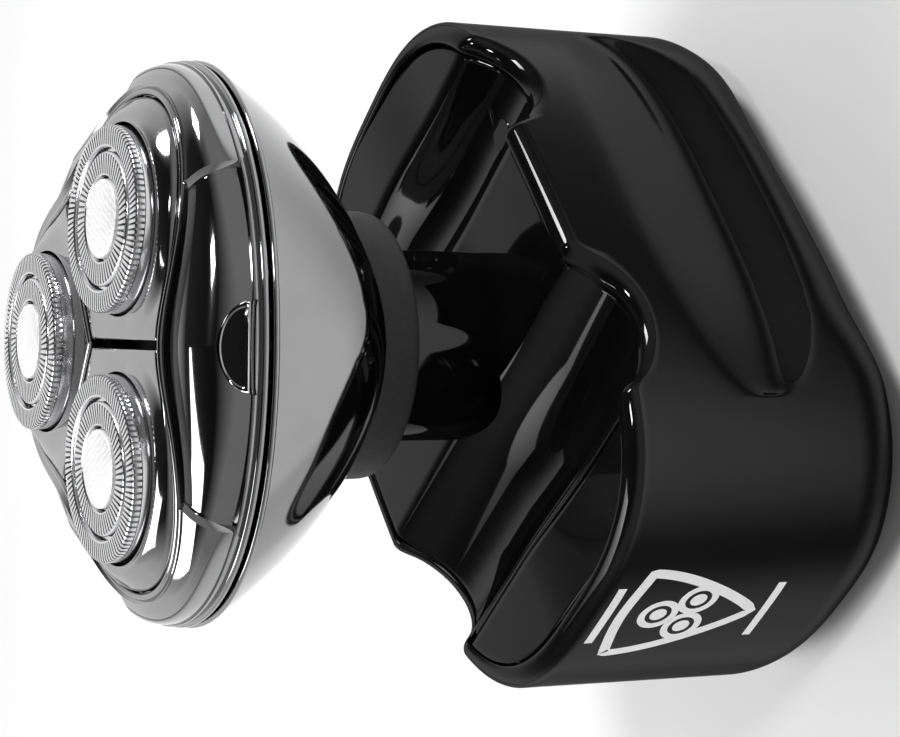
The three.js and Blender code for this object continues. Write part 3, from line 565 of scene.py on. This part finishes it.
def underside_skin(name, node, x0, x1):
    """One skin of the arched underside between two seams, its edges turned down."""
    edge = 0.9
    seam = 0.75
    edge_drop, edge_slope = 0.75, 0.02
    far_drop = 0.15
    tip = HALF_LENGTH - PANEL_INSET
    tip_gap = 0.002

    def turn_down(distance):
        t = np.clip(1 - distance / edge, 0, 1)
        return edge_drop * (1 - np.sqrt(1 - t ** 2)) + edge_slope * t

    def half_width(x):
        share = np.clip(np.abs(x) / tip, 0, 1)
        return (HALF_WIDTH - PANEL_INSET) * (1 - share ** SQUARENESS) ** (1 / SQUARENESS)

    low = max(x0 + seam, -tip + tip_gap)
    high = min(x1 - seam, tip - tip_gap)
    spread = (1 - np.cos(np.linspace(0, math.pi, 200))) / 2
    along = np.sin(np.linspace(-math.pi / 2, math.pi / 2, 121))
    rows = []
    for x in low + (high - low) * spread:
        half = half_width(x)
        y = along * half
        distance = np.minimum(half - np.abs(y), (tip - abs(x)) * 2)
        if x0 > -tip:
            distance = np.minimum(distance, x - low)
        if x1 < tip:
            distance = np.minimum(distance, high - x)
        z = skin_height(x, y) - turn_down(distance) * (far_drop + (1 - far_drop) * lip(y))
        rows.append(np.stack([np.full(y.shape, x), y, z], 1))
    faces = grid_faces(len(rows), len(along), closed=False)
    make_piece(name, rows, faces, GLOSS, "handle", [node], sharp=60.0)


def screw_plug(name, node):
    """A round plug, a little proud of the skin, over a case screw."""
    x, y, _ = middle(node)
    proud, depth, radius, bevel = 0.12, 1.6, 2.3, 0.25
    top = float(skin_height(x, y)) + proud
    profile = [(PINHOLE, -depth), (radius, -depth), (radius, -bevel), (radius - bevel, 0), (PINHOLE, 0)]
    turned_piece(name, profile, GLOSS, "handle", [node],
                 Matrix.Translation(Vector((x, y, top)) * MM), steps=64)


def neck():
    """The tube between the handle and the head, its top edges rounded."""
    inner, edge = NECK_RADIUS - 1.8, 0.6
    ring = rounded_profile([(inner, NECK_BOTTOM_Z), (NECK_RADIUS, NECK_BOTTOM_Z), (NECK_RADIUS, NECK_TOP_Z),
                            (inner, NECK_TOP_Z)], [0, 0, edge, edge])
    turned_piece("neck", ring + ring[:1], GLOSS, "handle", ["neck_tube"], steps=160)


def collar():
    """The soft collar under the bowl, fullest at half its height."""
    edge = COLLAR_RADIUS - 0.1
    ring = rounded_profile([(HEAD_BORE, COLLAR_LOW_Z), (edge, COLLAR_LOW_Z),
                            (COLLAR_RADIUS, (COLLAR_LOW_Z + COLLAR_HIGH_Z) / 2), (edge, COLLAR_HIGH_Z),
                            (HEAD_BORE, COLLAR_HIGH_Z)], [0.3, 1.0, 2.0, 0.7, 0.3])
    turned_piece("collar", ring + ring[:1], RUBBER, "head_base", ["collar_boot"], steps=160)


# ---- head: shapes shared by the bowl, the ring and the petals ----
def corner_share(angle):
    """0 in the middle of each of the head's three sides, 1 at its three corners."""
    return (1 - np.cos(3 * (angle - HEAD_YAW))) / 2


def rim_radius(angle):
    return HEAD_RADIUS - HEAD_WAVE * np.cos(3 * (angle - HEAD_YAW))


def edge_radius(angle):
    return EDGE_SIDE_RADIUS + (EDGE_CORNER_RADIUS - EDGE_SIDE_RADIUS) * corner_share(angle)


def edge_z(angle):
    return EDGE_SIDE_Z + (EDGE_CORNER_Z - EDGE_SIDE_Z) * corner_share(angle)


def head_angles(count):
    return HEAD_YAW + np.linspace(0, 2 * math.pi, count, endpoint=False)


def ring_row(angles, radius, z):
    return np.stack([radius * np.cos(angles), radius * np.sin(angles), z + np.zeros(len(angles))], 1)


def bowl():
    """The bowl swells early under the three sides and late at the corners, up to a bead at its rim."""
    count = 360
    bead = 0.4
    foot_edge, foot_lift = 0.3, 0.15
    wall_height = RIM_Z - 0.95 - BOWL_BOTTOM_Z
    angles = head_angles(count)
    rim = rim_radius(angles)
    swell = BOWL_SIDE_SWELL + (BOWL_CORNER_SWELL - BOWL_SIDE_SWELL) * corner_share(angles)
    rows = [ring_row(angles, HEAD_BORE, BOWL_BOTTOM_Z),
            ring_row(angles, BOWL_FOOT_RADIUS - foot_edge, BOWL_BOTTOM_Z)]
    for share in np.linspace(0, 1, 90) ** 3:
        radius = BOWL_FOOT_RADIUS + (rim - BOWL_FOOT_RADIUS) * share ** swell
        rows.append(ring_row(angles, radius, BOWL_BOTTOM_Z + foot_lift + share * wall_height))
    for turn in np.linspace(-math.pi / 2, math.pi / 2, 9):
        rows.append(ring_row(angles, rim - 0.1 + bead * math.cos(turn), RIM_Z - bead + bead * math.sin(turn)))
    rows.append(ring_row(angles, rim - 2.0, RIM_Z))
    rows.append(ring_row(angles, rim - 2.2, RIM_Z - 4))
    make_piece("bowl", rows, grid_faces(len(rows), count), CHROME, "head_base", ["base_bowl"],
               sharp=40.0)


def knuckle(name, body, low, high):
    """One barrel of the hinge between the bowl and the ring."""
    bore, radius, edge = 0.8, 1.9, 0.3
    profile = rounded_profile([(bore, low), (radius, low), (radius, high), (bore, high)], [0, edge, edge, 0])
    place = (Matrix.Rotation(HINGE_ANGLE, 4, "Z")
             @ Matrix.Translation(Vector((HINGE_RADIUS, 0, HINGE_Z)) * MM)
             @ Matrix.Rotation(-math.pi / 2, 4, "X"))
    turned_piece(name, profile + profile[:1], CHROME, body, (), place, steps=40)


def side_offset(angles):
    """Signed angle from the middle of the nearest side, in degrees."""
    turn = np.degrees(angles - HEAD_YAW)
    return (turn + 60) % 120 - 60


def head_ring():
    """The ring: a lip, a wall that is sunk and creased along each side, and a bead round the petals."""
    count = 1080
    lip_bead, top_bead = 0.5, 0.45
    bulge, band_depth, crease_rise, corner_depth = 1.5, 1.3, 1.3, 0.3
    angles = head_angles(count)
    rim, edge, top = rim_radius(angles), edge_radius(angles), edge_z(angles)
    away = np.abs(side_offset(angles))
    sunk = 1 - smooth_step(away, BAND_HALF_DEGREES - 0.5, BAND_HALF_DEGREES + 0.3)
    crease = (1 - away / BAND_HALF_DEGREES).clip(0, 1)
    rows = [ring_row(angles, rim - 2.2, RIM_Z + 0.4)]
    for turn in np.linspace(-math.pi / 2, math.pi / 2, 9):
        radius = rim - 0.3 + lip_bead * math.cos(turn)
        rows.append(ring_row(angles, radius, RIM_Z + 0.9 + lip_bead * math.sin(turn)))
    slope_r, slope_z = edge - rim, top - SHOULDER_Z
    length = np.hypot(slope_r, slope_z)
    out_r, out_z = slope_z / length, -slope_r / length
    for share in np.linspace(0, 1, 61)[:-4]:
        hollow = smooth_step(share, 0.03, 0.05) * (1 - smooth_step(share, 0.9, 0.92))
        bow = math.sin(math.pi * share)
        lift = bulge * bow - band_depth * hollow * sunk + crease_rise * crease * bow
        lift = lift - corner_depth * hollow * (1 - sunk)
        radius = rim + slope_r * share + out_r * lift
        rows.append(ring_row(angles, radius, SHOULDER_Z + slope_z * share + out_z * lift))
    for turn in np.linspace(0.0, math.pi, 9):
        radius = edge - top_bead + top_bead * math.cos(turn)
        rows.append(ring_row(angles, radius, top - top_bead + top_bead * math.sin(turn)))
    rows.append(ring_row(angles, edge - 2 * top_bead, top - 1.6))
    rows.append(ring_row(angles, edge - 3.4, top - 1.9))
    rows.append(rows[0])
    return make_piece("ring", rows, grid_faces(len(rows), count), CHROME, "face",
                      ["head_ring"], sharp=30.0)


def release_frame():
    """Frame on the slanted panel in the middle of the release side: x across, y up the slope, z outward."""
    start = Vector((float(rim_radius(HEAD_YAW)), 0, SHOULDER_Z))
    up = Vector((EDGE_SIDE_RADIUS - start.x, 0, EDGE_SIDE_Z - SHOULDER_Z)).normalized()
    across = Vector((0, 1, 0))
    outward = across.cross(up)
    turn = Matrix((across, up, outward)).transposed().to_4x4()
    return Matrix.Rotation(HEAD_YAW, 4, "Z") @ Matrix.Translation(start * MM) @ turn


def half_oval(grow):
    """Outline of the release button, flat edge towards the rim, grown outward by the given amount."""
    half, height = KEY_HALF + grow, KEY_HEIGHT + grow
    curve = [(half * math.cos(a), KEY_BASE + height * math.sin(a)) for a in np.linspace(0, math.pi, 61)]
    return curve + [(-half, KEY_BASE - grow), (half, KEY_BASE - grow)] if grow else curve


def stacked(outline, centre, layers):
    """Rows of an outline shrunk about a centre point, one for each (share, z) layer."""
    cx, cy = centre
    return [[(cx + (x - cx) * share, cy + (y - cy) * share, z) for x, y in outline] for share, z in layers]


def release_button():
    """The half-oval button: a bead round its edge and a faintly domed middle."""
    layers = [(PINHOLE, KEY_BACK), (1, KEY_BACK), (1, KEY_PROUD - 0.3), (0.985, KEY_PROUD - 0.12),
              (0.95, KEY_PROUD), (0.9, KEY_PROUD - 0.02), (0.86, KEY_PROUD - 0.18), (0.4, KEY_PROUD - 0.1),
              (PINHOLE, KEY_PROUD - 0.08)]
    rows = stacked(half_oval(0), (0.0, KEY_BASE + KEY_HEIGHT * 0.35), layers)
    make_piece("release_key", rows, grid_faces(len(rows), len(rows[0])), CHROME, "release_button",
               ["release_button"], release_frame(), sharp=40.0)


def cut_key_pocket(ring):
    """Cuts the pocket that the release button slides in out of the ring."""
    reach = 4.0
    carve(ring, [stacked(half_oval(KEY_GAP), (0.0, 0.0), [(1, -reach), (1, reach)])], release_frame(), 30)


# ---- petals and cutters ----
def cutter_polar(i):
    """Direction and distance of a cutter's axis from the neck's axis."""
    x, y, _ = middle(f"centre_disc_{i}")
    return math.atan2(y, x), math.hypot(x, y)


def cutter_place(i):
    """Frame of a cutter: origin in the middle of its top face, z along its spindle."""
    angle, pitch = cutter_polar(i)
    return (Matrix.Rotation(angle, 4, "Z") @ Matrix.Translation(Vector((pitch, 0, CAP_TOP_Z)) * MM)
            @ Matrix.Rotation(CAP_TILT, 4, "Y"))


def petal_height(x, y, reach, axis):
    """Height of the face: a dome that rises to a shoulder round the cutter's hole."""
    shoulder_drop, shoulder_reach, dome_reach = 1.9, 12.2, 15.5
    angle = np.arctan2(y, x)
    share = np.clip(np.hypot(x, y) / (edge_radius(angle) - 1.2), 0, 1.1)
    crown_z = EDGE_SIDE_Z + 0.3
    dome = crown_z + (edge_z(angle) - 0.1 - crown_z) * share ** 3
    outward = reach * np.cos(angle - axis)
    shoulder = CAP_TOP_Z - shoulder_drop - math.tan(CAP_TILT) * outward
    return dome + (np.maximum(shoulder, dome) - dome) * (1 - smooth_step(reach, shoulder_reach, dome_reach))


def petal_reach(turn, axis, pitch, hole):
    """Distance from the cutter's axis to the petal's edge in one direction, found by halving."""
    seam, rim_gap = 0.5, 1.1
    low, high = hole, 40.0
    for _ in range(34):
        reach = (low + high) / 2
        x, y = pitch + reach * math.cos(turn), reach * math.sin(turn)
        wedge = x * math.sin(math.pi / 3) - abs(y) * math.cos(math.pi / 3) - seam
        inside = wedge > 0 and math.hypot(x, y) < edge_radius(math.atan2(y, x) + axis) - rim_gap
        low, high = (reach, high) if inside else (low, reach)
    return low


def petal(i):
    """A third of the domed face, with a round hole for its cutter."""
    count = 720
    hole = CAP_RADIUS + CAP_GAP
    lead = 0.3
    axis, pitch = cutter_polar(i)
    turns = np.linspace(0, 2 * math.pi, count, endpoint=False)
    outer = np.array([petal_reach(turn, axis, pitch, hole) for turn in turns])
    rows = [(np.full(count, hole + step), drop)
            for step, drop in [(0.0, 2.2), (0.0, 0.35), (0.1, 0.1), (lead, 0.0)]]
    for share in np.linspace(0.04, 0.97, 32):
        rows.append((hole + lead + (outer - 2 * lead - hole) * share, 0.0))
    for back, drop in [(lead, 0.02), (0.12, 0.09), (0.03, 0.25), (0.0, 0.5), (0.0, 2.0)]:
        rows.append((np.maximum(outer - back, hole + lead), drop))
    points = []
    for reach, drop in rows:
        x = pitch + reach * np.cos(turns)
        y = reach * np.sin(turns)
        wx = x * math.cos(axis) - y * math.sin(axis)
        wy = x * math.sin(axis) + y * math.cos(axis)
        points.append(np.stack([wx, wy, petal_height(wx, wy, reach, axis) - drop], 1))
    make_piece(f"petal_cover_{i}", points, grid_faces(len(points), count), CHROME, f"petal_{i}",
               [f"petal_{i}"], sharp=40.0)


def slotted_track(inner, outer, count, skew, height, edge_drop):
    """Rows of a raised ring cut by radial slots; skew slants them, edge_drop lets them run down the rim."""
    open_share, side = 0.42, 0.03
    slot_depth, slot_pull = 0.75, 0.5
    rim = outer - 0.1
    pitch = 2 * math.pi / count
    turns = np.concatenate([[(k + share) * pitch for share in (0.0, side, open_share - side, open_share)]
                            for k in range(count)])
    in_slot = np.tile([0, 1, 1, 0], count)
    radii = [inner, inner + 0.12, inner + 0.3, inner + 0.5,
             outer - 0.5, outer - 0.25, outer - 0.08, outer, outer]
    falls = [0.5, 0.12, 0.02, 0.0, 0.0, 0.05, 0.2, 0.45, 0.45 + edge_drop]
    cuts = [0, 0, 0, 1, 1, 1, 1, 1, 0] if edge_drop else [0, 0, 0, 1, 1, 0, 0, 0, 0]
    rows = []
    for radius, fall, cut in zip(radii, falls, cuts):
        lean = skew * (radius - inner) / (outer - inner)
        depth = slot_depth * cut * in_slot * (radius < rim)
        pull = slot_pull * cut * in_slot if edge_drop and radius >= rim else 0
        rows.append(np.stack([(radius - pull) * np.cos(turns + lean), (radius - pull) * np.sin(turns + lean),
                              height - fall - depth], 1))
    return rows, len(turns)


def cutter_cap(i):
    """Two slotted tracks either side of a groove, on a wall that goes down to a flange."""
    place = cutter_place(i)
    tracks = {"outer": slotted_track(GROOVE_RADIUS + 0.25, CAP_RADIUS, 96, 0.05, 0.0, 0.6),
              "inner": slotted_track(DISC_RADIUS + 0.35, GROOVE_RADIUS - 0.2, 60, 0.09, -0.05, 0.0)}
    for side, (rows, columns) in tracks.items():
        make_piece(f"cap_track_{side}_{i}", rows, grid_faces(len(rows), columns), TURNED, f"cutter_{i}",
                   (), place, sharp=40.0)
    top, under = -0.9, -1.4
    inner, flange = CAP_RADIUS - 0.9, CAP_RADIUS + 0.8
    flange_top, flange_bottom = -6.5, -7.1
    bore, track_foot = DISC_RADIUS + 0.1, CAP_RADIUS - 0.35
    wall = [(bore, top), (track_foot, top), (track_foot, -1.05), (CAP_RADIUS, -1.15),
            (CAP_RADIUS + 0.02, -2.0), (CAP_RADIUS, flange_top + 0.1), (flange, flange_top),
            (flange, flange_bottom), (inner, flange_bottom), (inner, under), (bore, under), (bore, top)]
    turned_piece(f"cap_wall_{i}", wall, TURNED, f"cutter_{i}", [f"cutter_cap_{i}"], place,
                 steps=120)


def centre_disc(i):
    """The satin disc in the middle of a cutter cap, with a soft edge."""
    top, under = 0.1, -0.8
    profile = [(PINHOLE, under), (DISC_RADIUS, under), (DISC_RADIUS, top - 0.2),
               (DISC_RADIUS - 0.06, top - 0.08), (DISC_RADIUS - 0.2, top), (PINHOLE, top + 0.03)]
    turned_piece(f"disc_{i}", profile, SATIN, f"cutter_{i}", [f"centre_disc_{i}"],
                 cutter_place(i))


# ---- end fittings and mark ----
def stadium(width, height):
    """Points round a stadium centred on the origin, for the plane of an end fitting."""
    radius = height / 2
    reach = (width - height) / 2
    points = []
    for side, start in ((1, -math.pi / 2), (-1, math.pi / 2)):
        for t in np.linspace(start, start + math.pi, 16):
            points.append((side * reach + radius * math.cos(t), radius * math.sin(t)))
    return points


def end_x(y):
    """Distance of the end wall from the middle, at a place across the handle."""
    return HALF_LENGTH * (1 - np.abs(y / HALF_WIDTH) ** SQUARENESS) ** (1 / SQUARENESS)


def end_fitting(name, node, body, material, proud, domed):
    """A stadium-shaped piece in the +X end, slightly domed."""
    low, high = span(node)
    centre = (low + high) / 2
    outline = stadium(high[1] - low[1], high[2] - low[2])
    face = end_x(0.0) + proud
    layers = [(1, 3.0), (1, 0.35), (0.98, 0.12), (0.93, 0.0), (0.6, -domed * 0.7), (PINHOLE, -domed)]
    rows = [[(face - back, centre[1] + y * shrink, centre[2] + z * shrink) for y, z in outline]
            for shrink, back in layers]
    make_piece(name, rows, grid_faces(len(rows), len(outline)), material, body, [node])


def circle(y, z, radius, count):
    """Points round a circle in the plane of the mark."""
    return [(y + radius * math.cos(t), z + radius * math.sin(t))
            for t in np.linspace(0, 2 * math.pi, count, endpoint=False)]


def end_mark():
    """A plain silver mark on the -X end: a shield round three ringed dots, between two short bars."""
    centre_y, centre_z = -1.5, 28.5
    proud = 0.03
    half, top, low, crown = 8.0, 8.5, -9.5, 1.2
    line, thin_line, bar_line = 1.5, 1.0, 1.2
    ring_pitch, ring_z, ring_radius, dot_radius = 3.1, 1.2, 2.3, 1.15
    bar_half, bar_heights = 5.5, (-11.6, 11.9)
    points, faces = [], []

    def place(y, z):
        return (-end_x(centre_y + y) - proud, centre_y + y, centre_z + z)

    def band(path, width, closed):
        path = np.array(path, float)
        ahead = np.roll(path, -1, 0) - np.roll(path, 1, 0)
        if not closed:
            ahead[0], ahead[-1] = path[1] - path[0], path[-1] - path[-2]
        ahead /= np.linalg.norm(ahead, axis=1)[:, None]
        side = np.stack([-ahead[:, 1], ahead[:, 0]], 1) * width / 2
        start = len(points)
        for row in (path - side, path + side):
            points.extend(place(y, z) for y, z in row)
        faces.extend(grid_faces(2, len(path), closed, start))

    def dot(y0, z0, radius):
        start = len(points)
        for shrink in (1.0, 0.5, 0.05):
            points.extend(place(y, z) for y, z in circle(y0, z0, radius * shrink, 40))
        faces.extend(grid_faces(3, 40, True, start))

    def flank(side, t):
        return (side * half * math.cos(t * math.pi / 2) ** 0.8, top - (top - low) * t ** 1.2)

    shield = [(half * (1 - 2 * t), top + crown * math.sin(math.pi * t)) for t in np.linspace(0, 1, 24)]
    shield += [flank(-1, t) for t in np.linspace(0, 1, 30)[1:]]
    shield += [flank(1, t) for t in np.linspace(1, 0, 30)[1:-1]]
    band(shield, line, True)
    for k in range(3):
        turn = math.pi / 2 + k * 2 * math.pi / 3
        y0, z0 = ring_pitch * math.cos(turn), ring_z + ring_pitch * math.sin(turn)
        band(circle(y0, z0, ring_radius, 48), thin_line, True)
        dot(y0, z0, dot_radius)
    for height in bar_heights:
        band([(t, height) for t in np.linspace(-bar_half, bar_half, 12)], bar_line, False)
    make_piece("end_mark", points, faces, SILVER, "handle")


# ---- stage ----
def floor():
    reach, below = 3.0, 1e-4
    corners = [(x * reach, y * reach, -below) for x, y in ((-1, -1), (1, -1), (1, 1), (-1, 1))]
    mesh = bpy.data.meshes.new("floor")
    mesh.from_pydata(corners, [], [(0, 1, 2, 3)])
    piece = bpy.data.objects.new("floor", mesh)
    bpy.context.scene.collection.objects.link(piece)
    piece.data.materials.append(finish("floor_paper", (0.86, 0.86, 0.86), (0.9, 0.9, 0.9), (0.7, 0.8),
                                       grain=20.0))


def studio_light(name, direction, side, power):
    """A square soft light that faces the middle of the shaver from the given direction."""
    distance, aim_z = 0.7, 0.06
    data = bpy.data.lights.new(name, "AREA")
    data.shape = "SQUARE"
    data.size = side
    data.energy = power
    lamp = bpy.data.objects.new(name, data)
    bpy.context.scene.collection.objects.link(lamp)
    aim = Vector(direction).normalized()
    lamp.location = Vector((0, 0, aim_z)) + aim * distance
    lamp.rotation_euler = aim.to_track_quat("Z", "Y").to_euler()


def world_light():
    """A white room: full strength on the far side, dimmer behind the camera and dark overhead."""
    world = bpy.data.worlds.new("studio")
    world.use_nodes = True
    tree = world.node_tree
    background = tree.nodes["Background"]
    background.inputs["Color"].default_value = (1, 1, 1, 1)
    direction = tree.nodes.new("ShaderNodeTexCoord").outputs["Generated"]
    split = tree.nodes.new("ShaderNodeSeparateXYZ")
    tree.links.new(direction, split.inputs["Vector"])
    far = tree.nodes.new("ShaderNodeVectorMath")
    far.operation = "DOT_PRODUCT"
    far.inputs[1].default_value = (0.55, 0.8, 0.0)
    tree.links.new(direction, far.inputs[0])
    side = add_node(tree, "ShaderNodeMapRange", From_Min=-0.3, From_Max=0.6, To_Min=0.35, To_Max=1.0)
    tree.links.new(far.outputs["Value"], side.inputs["Value"])
    rise = add_node(tree, "ShaderNodeMapRange", From_Min=0.5, From_Max=0.82, To_Min=1.0, To_Max=0.04)
    tree.links.new(split.outputs["Z"], rise.inputs["Value"])
    level = tree.nodes.new("ShaderNodeMath")
    level.operation = "MULTIPLY"
    tree.links.new(side.outputs["Result"], level.inputs[0])
    tree.links.new(rise.outputs["Result"], level.inputs[1])
    tree.links.new(level.outputs["Value"], background.inputs["Strength"])
    bpy.context.scene.world = world


def camera():
    """The camera looks down on the release side, rolled on its side, with the handle to the right."""
    azimuth, elevation, roll = math.radians(-41.39), math.radians(28.26), math.radians(0.44)
    location = Vector((-0.1973, -0.2239, 0.2057))
    back = Vector((math.sin(azimuth) * math.cos(elevation), -math.cos(azimuth) * math.cos(elevation),
                   math.sin(elevation)))
    level = Vector((math.cos(azimuth), math.sin(azimuth), 0))
    upright = back.cross(level)
    right = level * math.cos(roll) + upright * math.sin(roll)
    up = upright * math.cos(roll) - level * math.sin(roll)
    data = bpy.data.cameras.new("camera")
    data.lens = 102.95
    data.shift_x = -0.0021
    data.shift_y = -0.0253
    piece = bpy.data.objects.new("camera", data)
    bpy.context.scene.collection.objects.link(piece)
    piece.matrix_world = Matrix.Translation(location) @ Matrix((-up, right, back)).transposed().to_4x4()
    bpy.context.scene.camera = piece


def dress_cad_nodes():
    """Gives each CAD node that stays the finish of its slot."""
    finishes = {"gloss_black": GLOSS, "chrome_black": CHROME, "rubber_black": RUBBER, "polished_steel": STEEL,
                "satin_steel": SATIN, "nylon_black": NYLON, "acetal_white": acetal_finish(),
                "brass_part": brass_finish(), "board_green": board_finish(), "cell_wrap": wrap_finish(),
                "light_lens": LENS}
    slots = {piece["node"]: piece["material_slot"] for piece in frame["record"]["subparts"]}
    for name, node in frame["nodes"].items():
        node.data.materials.clear()
        node.data.materials.append(finishes[slots[name]])


dress_cad_nodes()
handle_shell()
underside_skin("skin_crest", "underside_panel", SEAM_X[1], SEAM_X[0])
underside_skin("skin_wing_left", "underside_wing_left", SEAM_X[0], math.inf)
underside_skin("skin_wing_right", "underside_wing_right", -math.inf, SEAM_X[1])
seam_strip("strip_left", SEAM_X[0], *STRIP_Y[0])
seam_strip("strip_right", SEAM_X[1], *STRIP_Y[1])
screw_plug("plug_1", "screw_plug_1")
screw_plug("plug_2", "screw_plug_2")
neck()
collar()
bowl()
knuckle("knuckle_base_1", "head_base", -5.0, -2.3)
knuckle("knuckle_base_2", "head_base", 2.3, 5.0)
knuckle("knuckle_face", "face", -2.0, 2.0)
cut_key_pocket(head_ring())
release_button()
for number in (1, 2, 3):
    petal(number)
    cutter_cap(number)
    centre_disc(number)
end_fitting("power_key", "power_button", "power_button", RUBBER, 0.3, 0.25)
end_fitting("light_window", "status_light", "handle", LENS, -0.05, 0.05)
end_mark()
floor()
world_light()
studio_light("key", (0.58, -0.47, 0.66), 0.16, 3)
studio_light("rim", (-0.08, -0.46, 0.88), 0.08, 0.8)
studio_light("top", (-0.17, 0.47, 0.87), 0.4, 3.5)
camera()
bpy.context.scene.view_settings.view_transform = "Standard"
